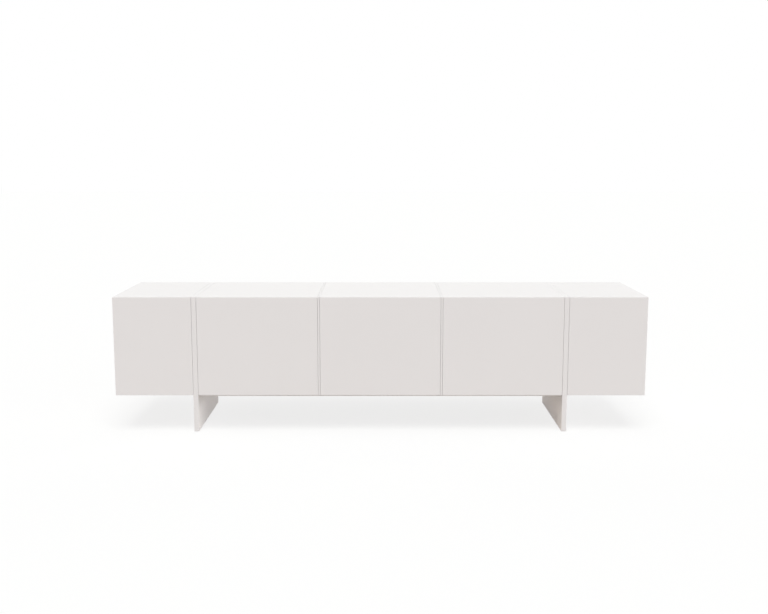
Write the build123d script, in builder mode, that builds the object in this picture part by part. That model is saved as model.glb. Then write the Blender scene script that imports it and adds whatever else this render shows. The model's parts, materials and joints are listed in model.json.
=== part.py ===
from build123d import *
from collections import namedtuple
import os

# Low media cabinet on two full-height panel legs, with five push-to-open doors.
# X runs along the length, the doors face -Y, Z is up, and the floor is Z = 0.

# Overall size
WIDTH = 2200.0
DEPTH = 500.0
HEIGHT = 568.0
UNDERSIDE = 156.0  # floor to the underside of the body

# Boards
LEG_OUTER = 777.0  # centre line to the outer face of a panel leg
LEG_THICK = 20.0
BOARD = 18.0
DIVIDER_LIP = 8.0  # thickness of the divider's edge that shows between doors and tops
BACK_THICK = 8.0
BACK_INSET = 6.0
SHELF_UNDERSIDE = 350.0
SHELF_SETBACK = 22.0
SHELF_PLAY = 1.0
EDGE_ROUND = 1.0
SEAM_ROUND = 0.8
TOP_SIDE_GAP = 0.3  # shadow gap between a top panel and the upright beside it
RAIL_TALL = 8.0
RAIL_DEEP = 18.0

# Doors
DOOR_THICK = 20.0
DOOR_SIDE_GAP = 0.75
DOOR_REAR_GAP = 2.0
DOOR_BEVEL = 6.5  # inner hinge-side edge, cut back so that the door can turn

# Pivot hinges
PIVOT_IN = 13.0  # pin axis to the door's hinge-side edge
PIVOT_BACK = 4.5  # pin axis to the door's outer face
PIN_RADIUS = 1.5
PIN_CLEARANCE = 0.05
LEAF_THICK = 2.5
LEAF_GAP = 0.5
ARM_WIDTH = 5.4
PLATE_SPAN = (20.0, 52.0)  # cabinet leaf's plate, measured from the door's edge
FLANGE_SPAN = (19.0, 50.0)
FLANGE_THICK = 2.0
FLANGE_DROP = 32.0
FLANGE_ROUND = 3.0
NOTCH_WIDTH = 28.0
NOTCH_SKIN = 1.5

# Push latches
LATCH_INSET = 40.0  # plunger axis to the door's free edge
LATCH_WIDE = 14.0
LATCH_TALL = 12.0
LATCH_LONG = 62.0
LATCH_SETBACK = 4.0
LATCH_ROUND = 3.0
PLUNGER_RADIUS = 3.0
PLUNGER_CLEARANCE = 0.05
PLUNGER_LONG = 57.0
STRIKE_THICK = 1.2
STRIKE_GAP = 0.3

# Fasteners
SCREW_RADIUS = 1.7
SCREW_HEAD_RADIUS = 3.4
SCREW_HEAD_TALL = 1.8
SCREW_LONG = 14.0
DRILL_PLAY = 0.1
CAM_RADIUS = 7.5
CAM_TALL = 12.0
CAM_SETBACK = 24.0
BOLT_RADIUS = 3.0
BOLT_BITE = 10.0
CONNECTOR_Y = (-150.0, 150.0)
SHELF_PIN_RADIUS = 2.5
SHELF_PIN_BITE = 8.0
SHELF_PIN_PROUD = 8.0
SHELF_PIN_Y = (-150.0, 170.0)

# Glides and cable outlets
GLIDE_RADIUS = 8.0
GLIDE_TALL = 2.0
GLIDE_Y = (-200.0, 200.0)
OUTLET_RADIUS = 30.0
OUTLET_CLEAR_RADIUS = 26.0
OUTLET_FLANGE_RADIUS = 34.0
OUTLET_Z = 266.0

# Derived places
FRONT = -DEPTH / 2
REAR = DEPTH / 2
LEG_INNER = LEG_OUTER - LEG_THICK
LEG_X = LEG_OUTER - LEG_THICK / 2
END_OUTER = WIDTH / 2
END_INNER = END_OUTER - BOARD
DOOR_BACK = FRONT + DOOR_THICK
CARCASS_FRONT = DOOR_BACK + DOOR_REAR_GAP
FLOOR_INSIDE = UNDERSIDE + BOARD
CEILING = HEIGHT - BOARD
MID_HEIGHT = (UNDERSIDE + HEIGHT) / 2
BACK_REAR = REAR - BACK_INSET
BACK_FRONT = BACK_REAR - BACK_THICK
DOOR_WIDTH = (2 * LEG_INNER - 2 * DIVIDER_LIP - 6 * DOOR_SIDE_GAP) / 3
DIVIDER_X = DOOR_WIDTH / 2 + DOOR_SIDE_GAP + DIVIDER_LIP / 2
LEAF_TOP = CEILING  # the cabinet leaf lies against the underside of the top
DOOR_LEAF_TOP = CEILING - LEAF_THICK - LEAF_GAP
LATCH_Z = CEILING - LATCH_TALL / 2
PIVOT_Y = FRONT + PIVOT_BACK

# A bay is one section of the body: the span of its top, of its inside and of its door.
Bay = namedtuple("Bay", "name top inside door")
LEFT_END = Bay(
    "left_end",
    (-END_OUTER, -LEG_OUTER - TOP_SIDE_GAP),
    (-END_INNER, -LEG_OUTER),
    (-END_OUTER, -LEG_OUTER - DOOR_SIDE_GAP),
)
LEFT = Bay(
    "left",
    (-LEG_INNER + TOP_SIDE_GAP, -DIVIDER_X - DIVIDER_LIP / 2 - TOP_SIDE_GAP),
    (-LEG_INNER, -DIVIDER_X - BOARD / 2),
    (-LEG_INNER + DOOR_SIDE_GAP, -LEG_INNER + DOOR_SIDE_GAP + DOOR_WIDTH),
)
CENTRE = Bay(
    "centre",
    (-DIVIDER_X + DIVIDER_LIP / 2 + TOP_SIDE_GAP, DIVIDER_X - DIVIDER_LIP / 2 - TOP_SIDE_GAP),
    (-DIVIDER_X + BOARD / 2, DIVIDER_X - BOARD / 2),
    (-DOOR_WIDTH / 2, DOOR_WIDTH / 2),
)
BAYS = (LEFT_END, LEFT, CENTRE)
MIRRORED = {"left_end": "right_end", "left": "right"}


def add_block(x_span, y_span, z_span, mode=Mode.ADD):
    """Add a rectangular block between the given limits to the part being built."""
    spans = (x_span, y_span, z_span)
    centre = [(low + high) / 2 for low, high in spans]
    size = [high - low for low, high in spans]
    with Locations(tuple(centre)):
        Box(*size, mode=mode)


def add_rod(start, direction, radius, length, mode=Mode.ADD, seam=None):
    """Add a round rod that starts at a point and runs along a direction.

    The seam is the side on which the rod's round face closes on itself.
    """
    with Locations(Plane(origin=start, x_dir=seam, z_dir=direction)):
        Cylinder(radius, length, align=(Align.CENTER, Align.CENTER, Align.MIN), mode=mode)


def save(piece, name):
    """Label a finished piece and write it to its own file."""
    piece.part.label = name
    export_step(piece.part, f"parts/{name}.step")


def save_with_mirror(piece, stem, name):
    """Write a left-hand or central piece, and the right-hand one that mirrors it."""
    save(piece, f"{stem}_{name}")
    if name in MIRRORED:
        with BuildPart() as twin:
            mirror(piece.part, about=Plane.YZ)
        save(twin, f"{stem}_{MIRRORED[name]}")


def inner_uprights():
    """Each upright between two bays: centre, half thickness at its foot and at its top."""
    for side in (-1, 1):
        yield side * LEG_X, LEG_THICK / 2, LEG_THICK / 2
        yield side * DIVIDER_X, BOARD / 2, DIVIDER_LIP / 2


def connector_bolts():
    """Each connector bolt as a start point, a direction and a length."""
    for y in CONNECTOR_Y:
        for x, half_foot, half_top in inner_uprights():
            for z, half in ((UNDERSIDE + BOARD / 2, half_foot), (HEIGHT - BOARD / 2, half_top)):
                reach = half + CAM_SETBACK
                yield (x - reach, y, z), (1, 0, 0), 2 * reach
        for side in (-1, 1):
            foot = (side * (END_INNER + BOLT_BITE), y, UNDERSIDE + BOARD / 2)
            yield foot, (-side, 0, 0), BOLT_BITE + CAM_SETBACK
            head = (side * (END_INNER + BOARD / 2), y, CEILING + BOLT_BITE)
            yield head, (0, 0, -1), BOLT_BITE + CAM_SETBACK


def connector_cams():
    """Each cam as the centre of its mouth, its direction into the board and the bolt's side."""
    for y in CONNECTOR_Y:
        for x, half_foot, half_top in inner_uprights():
            for z, half in ((UNDERSIDE, half_foot), (CEILING, half_top)):
                for side in (-1, 1):
                    yield (x + side * (half + CAM_SETBACK), y, z), (0, 0, 1), (-side, 0, 0)
        for side in (-1, 1):
            yield (side * (END_INNER - CAM_SETBACK), y, UNDERSIDE), (0, 0, 1), (side, 0, 0)
            yield (side * END_INNER, y, CEILING - CAM_SETBACK), (side, 0, 0), (0, 0, 1)


def cut_connectors(x_low, x_high):
    """Bore the bolt holes and cam pockets that reach a board lying between two X limits."""
    for start, direction, length in connector_bolts():
        end_x = start[0] + direction[0] * length
        if max(start[0], end_x) > x_low and min(start[0], end_x) < x_high:
            add_rod(start, direction, BOLT_RADIUS + DRILL_PLAY, length, Mode.SUBTRACT)
    radius, depth = CAM_RADIUS + DRILL_PLAY, CAM_TALL + DRILL_PLAY
    for mouth, inward, bolt_side in connector_cams():
        if x_low - 1 < mouth[0] < x_high + 1:
            seam = tuple(-part for part in bolt_side)
            add_rod(mouth, inward, radius, depth, Mode.SUBTRACT, seam)


def shelf_pins(bay):
    """Each shelf pin of a bay as its buried end and its direction into the bay."""
    height = SHELF_UNDERSIDE - SHELF_PIN_RADIUS
    for y in SHELF_PIN_Y:
        yield (bay.inside[0] - SHELF_PIN_BITE, y, height), (1, 0, 0)
        yield (bay.inside[1] + SHELF_PIN_BITE, y, height), (-1, 0, 0)


def cut_pin_holes(*bays):
    """Bore the shelf pin holes of the given bays."""
    for bay in bays:
        for start, direction in shelf_pins(bay):
            radius = SHELF_PIN_RADIUS + DRILL_PLAY
            add_rod(start, direction, radius, SHELF_PIN_BITE, Mode.SUBTRACT)


def plate_screws(bay):
    """Places of the two screws through a cabinet hinge leaf."""
    edge = bay.door[0]
    return ((edge + 31, CARCASS_FRONT + 22), (edge + 45, CARCASS_FRONT + 12))


def flange_screws(bay):
    """Places of the two screws through a door hinge leaf, on the upper hinge."""
    edge = bay.door[0]
    return ((edge + 36, CEILING - 14), (edge + 36, CEILING - 28))


def latch_x(bay):
    """Centre line of the bay's push latch, near the door's free edge."""
    return bay.door[1] - LATCH_INSET


def latch_screws(bay):
    """Places of the two screws through a latch housing's ears."""
    offset = LATCH_WIDE / 2 + 5
    y = CARCASS_FRONT + LATCH_SETBACK + LATCH_LONG - 12
    return ((latch_x(bay) - offset, y), (latch_x(bay) + offset, y))


os.makedirs("parts", exist_ok=True)

# Panel legs, from the floor glides up through the top
with BuildPart() as leg:
    add_block((-LEG_OUTER, -LEG_INNER), (FRONT, REAR), (GLIDE_TALL, HEIGHT))
    fillet(leg.edges(), EDGE_ROUND)
    cut_connectors(-LEG_OUTER, -LEG_INNER)
    cut_pin_holes(LEFT_END, LEFT)
    for y in GLIDE_Y:
        add_rod((-LEG_X, y, GLIDE_TALL), (0, 0, 1), SCREW_RADIUS + DRILL_PLAY, SCREW_LONG, Mode.SUBTRACT)
save_with_mirror(leg, "leg_panel", "left")

# Dividers: a thick core with a thin lip that reaches the front and the top
with BuildPart() as divider:
    lip = (-DIVIDER_X - DIVIDER_LIP / 2, -DIVIDER_X + DIVIDER_LIP / 2)
    core = (-DIVIDER_X - BOARD / 2, -DIVIDER_X + BOARD / 2)
    add_block(lip, (FRONT, REAR), (UNDERSIDE, HEIGHT))
    fillet(divider.edges().filter_by(Axis.X), EDGE_ROUND)
    fillet(divider.faces().sort_by(Axis.Z)[-1].edges().filter_by(Axis.Y), SEAM_ROUND)
    add_block(core, (CARCASS_FRONT, REAR), (UNDERSIDE, CEILING))
    cut_connectors(*core)
    cut_pin_holes(LEFT, CENTRE)
save_with_mirror(divider, "divider", "left")

# End panels, under the ends of the top
with BuildPart() as end_panel:
    add_block((-END_OUTER, -END_INNER), (CARCASS_FRONT, REAR), (UNDERSIDE, CEILING))
    fillet(end_panel.edges().group_by(Axis.X)[0], SEAM_ROUND)
    cut_connectors(-END_OUTER, -END_INNER)
    cut_pin_holes(LEFT_END)
save_with_mirror(end_panel, "end_panel", "left")

# Stiffening rail, glued under the front of the three wide bays from leg to leg
with BuildPart() as rail:
    depth = (CARCASS_FRONT, CARCASS_FRONT + RAIL_DEEP)
    add_block((-LEG_INNER, LEG_INNER), depth, (UNDERSIDE - RAIL_TALL, UNDERSIDE))
    fillet(rail.edges().filter_by(Axis.X).group_by(Axis.Z)[0], EDGE_ROUND)
save(rail, "stiffening_rail")

for bay in BAYS:
    # Top panel, flush with the legs and the divider lips
    with BuildPart() as top_panel:
        add_block(bay.top, (CARCASS_FRONT, REAR), (CEILING, HEIGHT))
        fillet(top_panel.edges().group_by(Axis.Z)[-1], SEAM_ROUND)
        cut_connectors(*bay.top)
        for x, y in plate_screws(bay) + latch_screws(bay):
            add_rod((x, y, CEILING), (0, 0, 1), SCREW_RADIUS + DRILL_PLAY, SCREW_LONG, Mode.SUBTRACT)
    save_with_mirror(top_panel, "top_panel", bay.name)

    # Bottom panel, between the uprights
    with BuildPart() as bottom_panel:
        add_block(bay.inside, (CARCASS_FRONT, REAR), (UNDERSIDE, FLOOR_INSIDE))
        long_edges = bottom_panel.edges().filter_by(Axis.X)
        fillet(long_edges.group_by(Axis.Z)[0], SEAM_ROUND)
        cut_connectors(*bay.inside)
        for x, y in plate_screws(bay):
            start = (x, y, FLOOR_INSIDE)
            add_rod(start, (0, 0, -1), SCREW_RADIUS + DRILL_PLAY, SCREW_LONG, Mode.SUBTRACT)
    save_with_mirror(bottom_panel, "bottom_panel", bay.name)

    # Back panel, with a cable outlet behind each of the three wide doors
    with BuildPart() as back_panel:
        add_block(bay.inside, (BACK_FRONT, BACK_REAR), (FLOOR_INSIDE, CEILING))
        if bay is not LEFT_END:
            middle = sum(bay.inside) / 2
            start = (middle, BACK_FRONT, OUTLET_Z)
            add_rod(start, (0, 1, 0), OUTLET_RADIUS + DRILL_PLAY, BACK_THICK, Mode.SUBTRACT)
    save_with_mirror(back_panel, "back_panel", bay.name)

    # Loose shelf on four pins
    with BuildPart() as shelf:
        span = (bay.inside[0] + SHELF_PLAY, bay.inside[1] - SHELF_PLAY)
        depth = (CARCASS_FRONT + SHELF_SETBACK, BACK_FRONT - SHELF_PLAY)
        add_block(span, depth, (SHELF_UNDERSIDE, SHELF_UNDERSIDE + BOARD))
        fillet(shelf.edges().filter_by(Axis.X).group_by(Axis.Y)[0], SEAM_ROUND)
    save_with_mirror(shelf, "shelf", bay.name)

    # Door, covering the edges of the top and the bottom, with a notch at each pivot
    edge = bay.door[0]
    with BuildPart() as door:
        add_block(bay.door, (FRONT, DOOR_BACK), (UNDERSIDE, HEIGHT))
        back_edges = door.edges().filter_by(Axis.Z).group_by(Axis.Y)[-1]
        chamfer(back_edges.sort_by(Axis.X)[0], DOOR_BEVEL)
        fillet(door.edges().group_by(Axis.Y)[0], EDGE_ROUND)
        notch_top = CEILING + LEAF_GAP
        notch_foot = DOOR_LEAF_TOP - LEAF_THICK - 2 * LEAF_GAP
        notch_depth = (FRONT + NOTCH_SKIN, DOOR_BACK + 1)
        add_block((edge - 1, edge + NOTCH_WIDTH), notch_depth, (notch_foot, notch_top), Mode.SUBTRACT)
        for x, z in flange_screws(bay):
            radius = SCREW_RADIUS + DRILL_PLAY
            add_rod((x, DOOR_BACK, z), (0, -1, 0), radius, SCREW_LONG - FLANGE_THICK, Mode.SUBTRACT)
        split(bisect_by=Plane.XY.offset(MID_HEIGHT), keep=Keep.TOP)
        mirror(about=Plane.XY.offset(MID_HEIGHT))
    save_with_mirror(door, "door", bay.name)

    # Door hinge leaves: an arm on the pin, bent into a flange on the door's inner face
    with BuildPart() as door_leaf:
        with BuildSketch(Plane.XY.offset(DOOR_LEAF_TOP)) as arm:
            pin = (edge + PIVOT_IN, PIVOT_Y)
            bend = (edge + PIVOT_IN + 11, DOOR_BACK - 2)
            middle = ((pin[0] + bend[0]) / 2, (pin[1] + bend[1]) / 2)
            SlotCenterPoint(middle, bend, ARM_WIDTH)
            with Locations(pin):
                Circle(PIN_RADIUS + PIN_CLEARANCE, mode=Mode.SUBTRACT)
        extrude(amount=-LEAF_THICK)
        flange = (edge + FLANGE_SPAN[0], edge + FLANGE_SPAN[1])
        flange_depth = (DOOR_BACK, DOOR_BACK + FLANGE_THICK)
        add_block(flange, flange_depth, (DOOR_LEAF_TOP - FLANGE_DROP, DOOR_LEAF_TOP))
        fillet(door_leaf.edges().filter_by(Axis.Y).group_by(Axis.Z)[0], FLANGE_ROUND)
        for x, z in flange_screws(bay):
            radius = SCREW_RADIUS + DRILL_PLAY
            add_rod((x, DOOR_BACK, z), (0, 1, 0), radius, FLANGE_THICK, Mode.SUBTRACT)
        mirror(about=Plane.XY.offset(MID_HEIGHT))
    save_with_mirror(door_leaf, "hinge_leaves", bay.name)

    # Screws that hold the hinge leaves to the door
    with BuildPart() as door_screws:
        for x, z in flange_screws(bay):
            start = (x, DOOR_BACK + FLANGE_THICK, z)
            add_rod(start, (0, -1, 0), SCREW_RADIUS, SCREW_LONG - 1)
            add_rod(start, (0, 1, 0), SCREW_HEAD_RADIUS, SCREW_HEAD_TALL)
        fillet(door_screws.edges().group_by(Axis.Y)[-1], SCREW_HEAD_TALL / 2)
        mirror(about=Plane.XY.offset(MID_HEIGHT))
    save_with_mirror(door_screws, "door_screws", bay.name)

    # Strike plate on the door, facing the plunger
    with BuildPart() as strike:
        span = (latch_x(bay) - 9, latch_x(bay) + 9)
        add_block(span, (DOOR_BACK, DOOR_BACK + STRIKE_THICK), (LATCH_Z - 9, LATCH_Z + 5))
        fillet(strike.edges().filter_by(Axis.Y), 2)
    save_with_mirror(strike, "strike_plate", bay.name)

    # Sprung plunger of the push latch
    with BuildPart() as plunger:
        tip = DOOR_BACK + STRIKE_THICK + STRIKE_GAP
        add_rod((latch_x(bay), tip, LATCH_Z), (0, 1, 0), PLUNGER_RADIUS, PLUNGER_LONG)
        fillet(plunger.edges().group_by(Axis.Y)[0], 1)
    save_with_mirror(plunger, "latch_plunger", bay.name)

# Push latch housings, screwed to the underside of the top
with BuildPart() as latch_housings:
    for bay in BAYS:
        x = latch_x(bay)
        start_y = CARCASS_FRONT + LATCH_SETBACK
        end_y = start_y + LATCH_LONG
        with BuildSketch(Plane.XZ.offset(-start_y)):
            with Locations((x, LATCH_Z)):
                RectangleRounded(LATCH_WIDE, LATCH_TALL, LATCH_ROUND)
        extrude(amount=-LATCH_LONG)
        with BuildSketch(Plane.XY.offset(CEILING)):
            with Locations((x, end_y - 12)):
                SlotOverall(LATCH_WIDE + 22, 14)
        extrude(amount=-LEAF_THICK)
        add_rod(
            (x, start_y, LATCH_Z),
            (0, 1, 0),
            PLUNGER_RADIUS + PLUNGER_CLEARANCE,
            LATCH_LONG - 4,
            Mode.SUBTRACT,
        )
        for hole_x, hole_y in latch_screws(bay):
            start = (hole_x, hole_y, CEILING)
            add_rod(start, (0, 0, -1), SCREW_RADIUS + DRILL_PLAY, LEAF_THICK, Mode.SUBTRACT)
    left_bays = latch_housings.solids().filter_by_position(Axis.X, -WIDTH, -DIVIDER_X)
    mirror(left_bays, about=Plane.YZ)
save(latch_housings, "latch_housings")

# Cabinet hinge leaves, flat on the underside of the top and on the bottom panel
with BuildPart() as cabinet_leaves:
    for bay in BAYS:
        edge = bay.door[0]
        with BuildSketch(Plane.XY.offset(LEAF_TOP)) as outline:
            pin = (edge + PIVOT_IN, PIVOT_Y)
            heel = (edge + PLATE_SPAN[0] + 5, CARCASS_FRONT + 5)
            middle = ((pin[0] + heel[0]) / 2, (pin[1] + heel[1]) / 2)
            SlotCenterPoint(middle, heel, ARM_WIDTH)
            plate_middle = (edge + sum(PLATE_SPAN) / 2, CARCASS_FRONT + 16)
            with Locations(plate_middle):
                RectangleRounded(PLATE_SPAN[1] - PLATE_SPAN[0], 28, 2)
            with Locations(pin):
                Circle(PIN_RADIUS, mode=Mode.SUBTRACT)
            with Locations(*plate_screws(bay)):
                Circle(SCREW_RADIUS + DRILL_PLAY, mode=Mode.SUBTRACT)
        extrude(amount=-LEAF_THICK)
    mirror(about=Plane.XY.offset(MID_HEIGHT))
    left_bays = cabinet_leaves.solids().filter_by_position(Axis.X, -WIDTH, -DIVIDER_X)
    mirror(left_bays, about=Plane.YZ)
save(cabinet_leaves, "cabinet_hinge_leaves")

# Pivot pins, pressed into the cabinet leaves and turning in the door leaves
with BuildPart() as hinge_pins:
    for bay in BAYS:
        start = (bay.door[0] + PIVOT_IN, PIVOT_Y, CEILING)
        add_rod(start, (0, 0, -1), PIN_RADIUS, 2 * LEAF_THICK + 1.5 * LEAF_GAP)
    mirror(about=Plane.XY.offset(MID_HEIGHT))
    left_bays = hinge_pins.solids().filter_by_position(Axis.X, -WIDTH, -DIVIDER_X)
    mirror(left_bays, about=Plane.YZ)
save(hinge_pins, "hinge_pins")

# Screws that hold the cabinet hinge leaves and the latch housings
with BuildPart() as cabinet_screws:
    for bay in BAYS:
        for x, y in plate_screws(bay):
            start = (x, y, CEILING - LEAF_THICK)
            add_rod(start, (0, 0, 1), SCREW_RADIUS, SCREW_LONG)
            add_rod(start, (0, 0, -1), SCREW_HEAD_RADIUS, SCREW_HEAD_TALL)
    mirror(about=Plane.XY.offset(MID_HEIGHT))
    for bay in BAYS:
        for x, y in latch_screws(bay):
            start = (x, y, CEILING - LEAF_THICK)
            add_rod(start, (0, 0, 1), SCREW_RADIUS, SCREW_LONG)
            add_rod(start, (0, 0, -1), SCREW_HEAD_RADIUS, SCREW_HEAD_TALL)
    left_bays = cabinet_screws.solids().filter_by_position(Axis.X, -WIDTH, -DIVIDER_X)
    mirror(left_bays, about=Plane.YZ)
save(cabinet_screws, "cabinet_screws")

# Shelf pins
with BuildPart() as pins:
    for bay in BAYS:
        for start, direction in shelf_pins(bay):
            add_rod(start, direction, SHELF_PIN_RADIUS, SHELF_PIN_BITE + SHELF_PIN_PROUD)
    left_bays = pins.solids().filter_by_position(Axis.X, -WIDTH, -DIVIDER_X)
    mirror(left_bays, about=Plane.YZ)
save(pins, "shelf_pins")

# Knock-down connectors: bolts, and the cams that draw them tight
with BuildPart() as connectors:
    for mouth, inward, _ in connector_cams():
        add_rod(mouth, inward, CAM_RADIUS, CAM_TALL)
    for mouth, inward, bolt_side in connector_cams():
        middle = Vector(mouth) + Vector(inward) * (BOARD / 2)
        start = middle - Vector(bolt_side) * DRILL_PLAY
        add_rod(start, bolt_side, BOLT_RADIUS + DRILL_PLAY, CAM_RADIUS + 1, Mode.SUBTRACT)
        slot_plane = Plane(origin=mouth, x_dir=bolt_side, z_dir=inward)
        with Locations(slot_plane):
            Box(CAM_RADIUS, 1.6, 3, mode=Mode.SUBTRACT)
    for start, direction, length in connector_bolts():
        add_rod(start, direction, BOLT_RADIUS, length)
save(connectors, "knock_down_connectors")

# Floor glides, nailed into the feet of the panel legs
with BuildPart() as glides:
    for side in (-1, 1):
        for y in GLIDE_Y:
            add_rod((side * LEG_X, y, 0), (0, 0, 1), GLIDE_RADIUS, GLIDE_TALL)
    fillet(glides.edges().group_by(Axis.Z)[0], 0.8)
    for side in (-1, 1):
        for y in GLIDE_Y:
            add_rod((side * LEG_X, y, GLIDE_TALL), (0, 0, 1), SCREW_RADIUS, SCREW_LONG - 1)
save(glides, "floor_glides")

# Cable outlet liners in the backs of the three wide bays
with BuildPart() as liners:
    outlets = (sum(LEFT.inside) / 2, 0, -sum(LEFT.inside) / 2)
    for x in outlets:
        sleeve_start = (x, BACK_FRONT - 1, OUTLET_Z)
        add_rod(sleeve_start, (0, 1, 0), OUTLET_RADIUS, BACK_THICK + 1)
        add_rod((x, BACK_REAR, OUTLET_Z), (0, 1, 0), OUTLET_FLANGE_RADIUS, 2.5)
    fillet(liners.edges().group_by(Axis.Y)[-1], 1)
    for x in outlets:
        sleeve_start = (x, BACK_FRONT - 1, OUTLET_Z)
        add_rod(sleeve_start, (0, 1, 0), OUTLET_CLEAR_RADIUS, BACK_THICK + 4, Mode.SUBTRACT)
save(liners, "cable_outlet_liners")
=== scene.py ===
import json
import math
from collections import namedtuple

import bmesh
import bpy
from mathutils import Matrix, Vector


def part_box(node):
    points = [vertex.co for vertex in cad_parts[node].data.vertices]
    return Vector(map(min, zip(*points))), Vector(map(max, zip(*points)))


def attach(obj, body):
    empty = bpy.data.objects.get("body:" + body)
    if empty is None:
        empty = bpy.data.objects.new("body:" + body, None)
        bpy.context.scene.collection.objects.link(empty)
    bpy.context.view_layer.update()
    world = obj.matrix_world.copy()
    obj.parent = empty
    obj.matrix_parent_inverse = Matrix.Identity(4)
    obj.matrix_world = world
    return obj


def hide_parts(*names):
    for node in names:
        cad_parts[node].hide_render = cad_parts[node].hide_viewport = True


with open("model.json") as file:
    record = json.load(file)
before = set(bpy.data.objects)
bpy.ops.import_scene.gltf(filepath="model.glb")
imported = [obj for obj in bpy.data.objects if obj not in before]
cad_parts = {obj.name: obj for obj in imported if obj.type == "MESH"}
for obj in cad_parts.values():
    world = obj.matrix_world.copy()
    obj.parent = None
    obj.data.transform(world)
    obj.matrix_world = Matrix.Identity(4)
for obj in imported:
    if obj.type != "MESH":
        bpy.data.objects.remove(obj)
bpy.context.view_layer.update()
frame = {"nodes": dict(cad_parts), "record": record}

# The camera stands in front of the middle of the object and looks slightly down on it.
CAMERA_PLACE = (0.0, -4.3097, 1.1336)
CAMERA_TILT = math.radians(8.493)
CAMERA_LENS = 46.875
CAMERA_SHIFT = 0.00486

# Small hardware, in millimetres. A profile is (radius, height) pairs from the top down, with
# the surface that the piece stands on at height zero.
MM = 0.001
ROUND_STEPS = 40
HEAD_PROFILE = ((0.0, 1.8), (1.3, 1.75), (2.3, 1.5), (3.0, 1.0), (3.35, 0.4), (3.4, 0.0))
SHANK_PROFILE = ((1.7, 0.0), (1.7, -10.5), (1.2, -12.0), (0.0, -13.5))
HEAD_TALL = HEAD_PROFILE[0][1]
RECESS_LONG = 3.8
RECESS_WIDE = 0.8
# The pressing tool's two ends: height above the head's crown, and size against the recess.
RECESS_ENDS = ((1.0, 1.25), (-1.2, 0.55))
BUMPER_PROFILE = ((0.0, 1.5), (2.2, 1.42), (3.4, 1.05), (3.9, 0.45), (4.0, 0.0))
BUMPER_INSET = 12.0  # from the door's free edge
BUMPER_EDGE = 9.0  # from its top and its foot
WEDGE_OUTLINE = ((0.0, 0.0), (5.2, 0.0), (5.2, 2.0), (1.4, 10.0), (0.0, 10.0))
WEDGE_LONG = 14.0
WEDGE_ROUND = 0.5
WELD_DISTANCE = 0.002  # between points that belong to one solid's corner

# Where the hardware goes. The cross of each screw is turned on from that of the one before.
WEDGE_INSET = 0.18  # share of the back panel's width
CABINET_SCREW_TURN = 0.7  # radians
DOOR_SCREW_TURN = 0.9
MID_HEIGHT = 0.362  # half-way up the body, in metres
DOORS = ("left_end", "left", "centre", "right", "right_end")
SHARP_ANGLE = math.radians(35)  # an edge that turns by more than this stays crisp

# A finish: its name, its colour, how metallic it is, the lowest and highest tone as shares
# of the colour, the noise of that tone, the noise and the limits of the roughness, and the
# noise, strength and depth in metres of the skin. A noise is cells per metre, detail and
# roughness.
Finish = namedtuple(
    "Finish", "name colour metallic tones tone_noise sheen_noise sheen skin_noise skin"
)
TONE_STOPS = (0.3, 0.7)  # how much noise makes the lowest and the highest tone


def moulded(name, colour, palest):
    """The finish of a spark-textured moulded plastic."""
    cloud = (60.0, 3.0, 0.5)
    texture = (3500.0, 2.0, 0.5)
    tones = (1.0, palest)
    return Finish(name, colour, 0.0, tones, cloud, cloud, (0.48, 0.62), texture, (0.25, 0.0001))


# The finish of each material slot
FINISHES = {
    # Sprayed matt lacquer: a faint cloudiness, uneven sheen and a fine orange-peel skin
    "lacquer": Finish(
        "matt_lacquer", (0.779, 0.758, 0.779), 0.0, (0.994, 1.006),
        (3.0, 4.0, 0.5), (40.0, 4.0, 0.5), (0.46, 0.56), (900.0, 2.0, 0.5), (0.08, 0.0002),
    ),
    # Board faced with printed melamine: a fine pearl grain and a faint fleck
    "back_board": Finish(
        "back_melamine", (0.765, 0.750, 0.765), 0.0, (0.965, 1.0),
        (260.0, 5.0, 0.7), (260.0, 5.0, 0.7), (0.50, 0.68), (1800.0, 2.0, 0.5), (0.15, 0.0002),
    ),
    # Zinc plating: cloudy reflections with fine rolling marks
    "plated_steel": Finish(
        "zinc_plate", (0.88, 0.88, 0.87), 1.0, (0.86, 1.0),
        (120.0, 4.0, 0.5), (120.0, 4.0, 0.5), (0.28, 0.46), (2500.0, 2.0, 0.5), (0.20, 0.0001),
    ),
    "grey_plastic": moulded("grey_plastic", (0.27, 0.27, 0.27), 1.065),
    "black_plastic": moulded("black_plastic", (0.02, 0.02, 0.02), 1.25),
    "pale_plastic": moulded("pale_plastic", (0.66, 0.64, 0.63), 1.056),
}

# The studio: a pale surround, a white floor, and soft lamps so far off that their light
# is parallel. Each lamp is where it shines from, how strong it is, how soft in degrees,
# and its colour. The floor is seen by its glow and its paint, and lights the object by
# its bounce.
WHITE = (1.0, 1.0, 1.0, 1.0)
SURROUND_COLOUR = (0.450, 0.445, 0.445)
FLOOR_SIZE = 60.0
FLOOR_GLOW = 0.768
FLOOR_PAINT = 0.192
FLOOR_BOUNCE = (0.60, 0.56, 0.50)
LAMPS = {
    "key_lamp": ((0.0, -0.466, 1.0), 2.24, 40.0, (0.990, 1.0, 0.962)),
    "front_right_lamp": ((0.8, -1.0, 0.5), 0.24, 30.0, (0.69, 0.77, 1.0)),
    "back_lamp": ((0.0, 1.0, 0.16), 0.36, 50.0, (0.92, 1.0, 0.78)),
    "right_lamp": ((1.0, -0.20, 0.12), 0.55, 20.0, (0.97, 1.0, 0.95)),
    "right_back_lamp": ((1.0, 0.60, 0.04), 1.30, 8.0, (1.0, 0.98, 0.95)),
    "left_lamp": ((-1.0, -0.20, 0.02), 0.25, 8.0, (1.0, 1.0, 0.93)),
    "left_back_lamp": ((-1.0, 0.60, 0.22), 0.35, 25.0, (0.78, 0.90, 1.0)),
    "left_back_level_lamp": ((-1.0, 0.60, 0.04), 0.73, 8.0, (1.0, 0.85, 0.73)),
}


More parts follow.
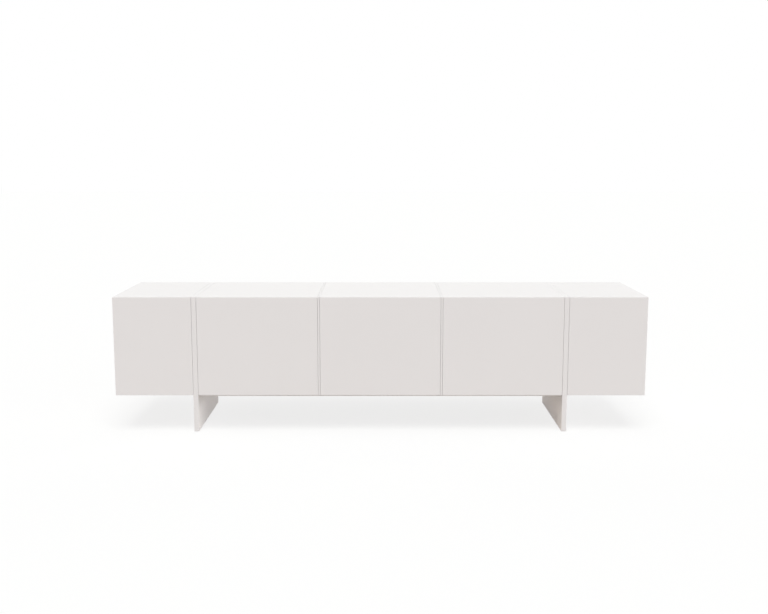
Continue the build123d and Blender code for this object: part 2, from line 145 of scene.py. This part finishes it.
def principled(name, colour, roughness):
    """A new material with its output and a Principled shader, and the shader's node."""
    material = bpy.data.materials.new(name)
    material.use_nodes = True
    shader = material.node_tree.nodes["Principled BSDF"]
    shader.inputs["Base Color"].default_value = (*colour, 1.0)
    shader.inputs["Roughness"].default_value = roughness
    return material, shader


def noise(material, scale, detail, roughness):
    """A grey noise in object coordinates, in cells per metre."""
    nodes, links = material.node_tree.nodes, material.node_tree.links
    place = nodes.new("ShaderNodeTexCoord")
    texture = nodes.new("ShaderNodeTexNoise")
    texture.inputs["Scale"].default_value = scale
    texture.inputs["Detail"].default_value = detail
    texture.inputs["Roughness"].default_value = roughness
    links.new(place.outputs["Object"], texture.inputs["Vector"])
    return texture.outputs["Fac"]


def blend(material, source, colours):
    """Turn a grey signal into a blend between two colours."""
    node = material.node_tree.nodes.new("ShaderNodeValToRGB")
    for stop, position, colour in zip(node.color_ramp.elements, TONE_STOPS, colours):
        stop.position = position
        stop.color = (*colour, 1.0)
    material.node_tree.links.new(source, node.inputs["Fac"])
    return node.outputs["Color"]


def spread(material, source, low, high):
    """Turn a grey signal into a number between two limits."""
    node = material.node_tree.nodes.new("ShaderNodeMapRange")
    node.inputs["To Min"].default_value = low
    node.inputs["To Max"].default_value = high
    material.node_tree.links.new(source, node.inputs["Value"])
    return node.outputs["Result"]


def relief(material, source, strength, depth):
    """Turn a height signal into a normal."""
    node = material.node_tree.nodes.new("ShaderNodeBump")
    node.inputs["Strength"].default_value = strength
    node.inputs["Distance"].default_value = depth
    material.node_tree.links.new(source, node.inputs["Height"])
    return node.outputs["Normal"]


def finished(finish):
    """The material of a finish."""
    material, shader = principled(finish.name, finish.colour, sum(finish.sheen) / 2)
    shader.inputs["Metallic"].default_value = finish.metallic
    tones = [[min(1.0, part * tone) for part in finish.colour] for tone in finish.tones]
    colour = blend(material, noise(material, *finish.tone_noise), tones)
    roughness = spread(material, noise(material, *finish.sheen_noise), *finish.sheen)
    normal = relief(material, noise(material, *finish.skin_noise), *finish.skin)
    links = material.node_tree.links
    links.new(colour, shader.inputs["Base Color"])
    links.new(roughness, shader.inputs["Roughness"])
    links.new(normal, shader.inputs["Normal"])
    return material


def dress_cad_nodes():
    """Give every CAD node the material of its slot in the record."""
    for part in frame["record"]["subparts"]:
        node = frame["nodes"][part["node"]]
        node.data.materials.clear()
        node.data.materials.append(materials[part["material_slot"]])


def lathe(profile):
    """A closed mesh turned about Z from (radius, height) pairs in millimetres."""
    mesh = bmesh.new()
    rings = []
    for radius, height in profile:
        count = ROUND_STEPS if radius > 0 else 1
        angles = [2 * math.pi * step / count for step in range(count)]
        points = [(radius * math.cos(a), radius * math.sin(a), height) for a in angles]
        rings.append([mesh.verts.new(Vector(point) * MM) for point in points])
    for upper, lower in zip(rings, rings[1:]):
        for step in range(ROUND_STEPS):
            following = (step + 1) % ROUND_STEPS
            corners = [upper[step % len(upper)], lower[step % len(lower)]]
            corners += [lower[following % len(lower)], upper[following % len(upper)]]
            mesh.faces.new(dict.fromkeys(corners))
    for ring in (rings[0], rings[-1]):
        if len(ring) > 1:
            mesh.faces.new(ring)
    bmesh.ops.recalc_face_normals(mesh, faces=mesh.faces)
    return mesh


def cross_recess():
    """A tapered cross, as the tool that presses the recess into a screw head."""
    mesh = bmesh.new()
    for turn in (0.0, math.pi / 2):
        for rise, share in RECESS_ENDS:
            size = (RECESS_LONG * share / 2, RECESS_WIDE * share / 2)
            for x, y in ((-1, -1), (1, -1), (1, 1), (-1, 1)):
                point = Vector((x * size[0], y * size[1], HEAD_TALL + rise)) * MM
                mesh.verts.new(Matrix.Rotation(turn, 3, "Z") @ point)
        mesh.verts.ensure_lookup_table()
        low, high = mesh.verts[-4:], mesh.verts[-8:-4]
        mesh.faces.new(high)
        mesh.faces.new(low[::-1])
        for step in range(4):
            following = (step + 1) % 4
            mesh.faces.new((high[following], high[step], low[step], low[following]))
    bmesh.ops.recalc_face_normals(mesh, faces=mesh.faces)
    return mesh


def as_object(name, shape):
    """Turn a finished bmesh into an object in the scene."""
    mesh = bpy.data.meshes.new(name)
    shape.to_mesh(mesh)
    shape.free()
    item = bpy.data.objects.new(name, mesh)
    bpy.context.scene.collection.objects.link(item)
    return item


def screw_mesh():
    """A pan-head screw with a cross recess, its head standing on height zero."""
    blank = as_object("screw_blank", lathe(HEAD_PROFILE + SHANK_PROFILE))
    tool = as_object("recess_tool", cross_recess())
    cut = blank.modifiers.new("recess", "BOOLEAN")
    cut.object = tool
    cut.solver = "EXACT"
    cut.use_self = True
    evaluated = blank.evaluated_get(bpy.context.evaluated_depsgraph_get())
    mesh = bpy.data.meshes.new_from_object(evaluated)
    bpy.data.objects.remove(blank)
    bpy.data.objects.remove(tool)
    return mesh


def wedge_mesh():
    """A moulded wedge with softened edges; it lies along X and is widest at height zero."""
    shape = bmesh.new()
    ends = []
    for x in (-WEDGE_LONG / 2, WEDGE_LONG / 2):
        ends.append([shape.verts.new(Vector((x, y, z)) * MM) for y, z in WEDGE_OUTLINE])
    shape.faces.new(ends[0][::-1])
    shape.faces.new(ends[1])
    for step in range(len(WEDGE_OUTLINE)):
        following = (step + 1) % len(WEDGE_OUTLINE)
        corners = (ends[0][step], ends[0][following], ends[1][following], ends[1][step])
        shape.faces.new(corners)
    bmesh.ops.recalc_face_normals(shape, faces=shape.faces)
    offset = WEDGE_ROUND * MM
    bmesh.ops.bevel(shape, geom=shape.edges[:], offset=offset, segments=2, affect="EDGES")
    mesh = bpy.data.meshes.new("wedge")
    shape.to_mesh(mesh)
    shape.free()
    return mesh


def set_out(name, template, places, slot, body):
    """One piece made of a copy of the template at each place, riding on a body."""
    shape = bmesh.new()
    for place in places:
        start = len(shape.verts)
        shape.from_mesh(template)
        shape.verts.ensure_lookup_table()
        bmesh.ops.transform(shape, matrix=place, verts=shape.verts[start:])
    piece = as_object(name, shape)
    piece.data.materials.append(materials[slot])
    for face in piece.data.polygons:
        face.use_smooth = True
    piece.data.set_sharp_from_angle(angle=SHARP_ANGLE)
    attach(piece, body)
    return piece


def solids_of(node):
    """The lowest and highest corner of each separate solid in a CAD node."""
    shape = bmesh.new()
    shape.from_mesh(frame["nodes"][node].data)
    bmesh.ops.remove_doubles(shape, verts=shape.verts[:], dist=WELD_DISTANCE * MM)
    waiting = set(shape.verts)
    boxes = []
    while waiting:
        front = [waiting.pop()]
        found = []
        while front:
            vert = front.pop()
            found.append(vert.co)
            near = {edge.other_vert(vert) for edge in vert.link_edges} & waiting
            waiting -= near
            front += near
        low = tuple(min(co[axis] for co in found) for axis in range(3))
        high = tuple(max(co[axis] for co in found) for axis in range(3))
        boxes.append((low, high))
    shape.free()
    return sorted(boxes)


def facing(point, direction, turn=0.0):
    """A place at a point, with the template's Z along a direction, turned about it."""
    aim = Vector(direction).to_track_quat("Z", "Y").to_matrix().to_4x4()
    return Matrix.Translation(point) @ aim @ Matrix.Rotation(turn, 4, "Z")


def make_screws():
    """Screws with cross recesses, each turned its own way, for the cabinet and the doors."""
    template = screw_mesh()
    head_tall = HEAD_TALL * MM
    places = []
    for number, (low, high) in enumerate(solids_of("cabinet_screws")):
        x, y = (low[0] + high[0]) / 2, (low[1] + high[1]) / 2
        hangs = low[2] > MID_HEIGHT
        z = low[2] + head_tall if hangs else high[2] - head_tall
        places.append(facing((x, y, z), (0, 0, -1 if hangs else 1), number * CABINET_SCREW_TURN))
    heads = set_out("cabinet_screw_set", template, places, "plated_steel", "cabinet")
    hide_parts("cabinet_screws")
    for bay in DOORS:
        places = []
        for number, (low, high) in enumerate(solids_of(f"door_screws_{bay}")):
            middle = ((low[0] + high[0]) / 2, high[1] - head_tall, (low[2] + high[2]) / 2)
            places.append(facing(middle, (0, 1, 0), number * DOOR_SCREW_TURN))
        heads = set_out(f"door_screw_set_{bay}", template, places, "plated_steel", f"{bay}_door")
        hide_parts(f"door_screws_{bay}")


def make_bumpers():
    """Soft bumpers on the inner face of each door, near its free edge, as the latch is."""
    shape = lathe(BUMPER_PROFILE)
    template = bpy.data.meshes.new("bumper")
    shape.to_mesh(template)
    shape.free()
    inset, edge = BUMPER_INSET * MM, BUMPER_EDGE * MM
    for bay in DOORS:
        low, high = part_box(f"door_{bay}")
        latch_on_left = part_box(f"latch_plunger_{bay}")[0].x < (low.x + high.x) / 2
        x = low.x + inset if latch_on_left else high.x - inset
        heights = (low.z + edge, high.z - edge)
        places = [facing((x, high.y, z), (0, 1, 0)) for z in heights]
        set_out(f"door_bumpers_{bay}", template, places, "pale_plastic", f"{bay}_door")


def make_wedges():
    """Wedges pressed in behind the back panels, which hold them in their boards."""
    template = wedge_mesh()
    for bay in DOORS:
        low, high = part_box(f"back_panel_{bay}")
        inset = (high.x - low.x) * WEDGE_INSET
        places = []
        for x in (low.x + inset, high.x - inset):
            places.append(Matrix.Translation((x, high.y, low.z)))
            flipped = Matrix.Rotation(math.pi, 4, "Y")
            places.append(Matrix.Translation((x, high.y, high.z)) @ flipped)
        set_out(f"back_panel_wedges_{bay}", template, places, "pale_plastic", "cabinet")


def make_floor():
    """A plain white studio floor. The camera sees it paler than it lights the object."""
    half = FLOOR_SIZE / 2
    corners = [(-half, -half, 0), (half, -half, 0), (half, half, 0), (-half, half, 0)]
    mesh = bpy.data.meshes.new("floor")
    mesh.from_pydata(corners, [], [(0, 1, 2, 3)])
    floor = bpy.data.objects.new("floor", mesh)
    bpy.context.scene.collection.objects.link(floor)
    material, seen = principled("studio_floor", (FLOOR_PAINT,) * 3, 1.0)
    seen.inputs["Specular IOR Level"].default_value = 0.0
    seen.inputs["Emission Color"].default_value = WHITE
    seen.inputs["Emission Strength"].default_value = FLOOR_GLOW
    nodes, links = material.node_tree.nodes, material.node_tree.links
    bounced = nodes.new("ShaderNodeBsdfDiffuse")
    bounced.inputs["Color"].default_value = (*FLOOR_BOUNCE, 1.0)
    path = nodes.new("ShaderNodeLightPath")
    mix = nodes.new("ShaderNodeMixShader")
    links.new(path.outputs["Is Camera Ray"], mix.inputs["Fac"])
    links.new(bounced.outputs["BSDF"], mix.inputs[1])
    links.new(seen.outputs["BSDF"], mix.inputs[2])
    links.new(mix.outputs["Shader"], nodes["Material Output"].inputs["Surface"])
    mesh.materials.append(material)


def make_surround():
    """A pale surround, which the camera sees as plain white."""
    world = bpy.data.worlds.new("surround")
    world.use_nodes = True
    nodes, links = world.node_tree.nodes, world.node_tree.links
    lighting = nodes["Background"]
    lighting.inputs["Color"].default_value = (*SURROUND_COLOUR, 1.0)
    backdrop = nodes.new("ShaderNodeBackground")
    backdrop.inputs["Color"].default_value = WHITE
    path = nodes.new("ShaderNodeLightPath")
    mix = nodes.new("ShaderNodeMixShader")
    links.new(path.outputs["Is Camera Ray"], mix.inputs["Fac"])
    links.new(lighting.outputs["Background"], mix.inputs[1])
    links.new(backdrop.outputs["Background"], mix.inputs[2])
    links.new(mix.outputs["Shader"], nodes["World Output"].inputs["Surface"])
    bpy.context.scene.world = world


def make_lamps():
    """Parallel soft lamps, each shining from its own direction towards the object."""
    for name, (source, strength, softness, colour) in LAMPS.items():
        light = bpy.data.lights.new(name, "SUN")
        light.energy = strength
        light.color = colour
        light.angle = math.radians(softness)
        lamp = bpy.data.objects.new(name, light)
        lamp.rotation_euler = Vector(source).to_track_quat("Z", "Y").to_euler()
        bpy.context.scene.collection.objects.link(lamp)


def make_camera():
    """The camera, at the viewing angle of a straight product shot."""
    data = bpy.data.cameras.new("camera")
    data.lens = CAMERA_LENS
    data.shift_x = CAMERA_SHIFT
    camera = bpy.data.objects.new("camera", data)
    camera.location = CAMERA_PLACE
    camera.rotation_euler = (math.pi / 2 - CAMERA_TILT, 0.0, 0.0)
    bpy.context.scene.collection.objects.link(camera)
    bpy.context.scene.camera = camera


materials = {slot: finished(finish) for slot, finish in FINISHES.items()}
dress_cad_nodes()
make_screws()
make_bumpers()
make_wedges()
make_floor()
make_surround()
make_lamps()
make_camera()
bpy.context.scene.view_settings.view_transform = "Standard"
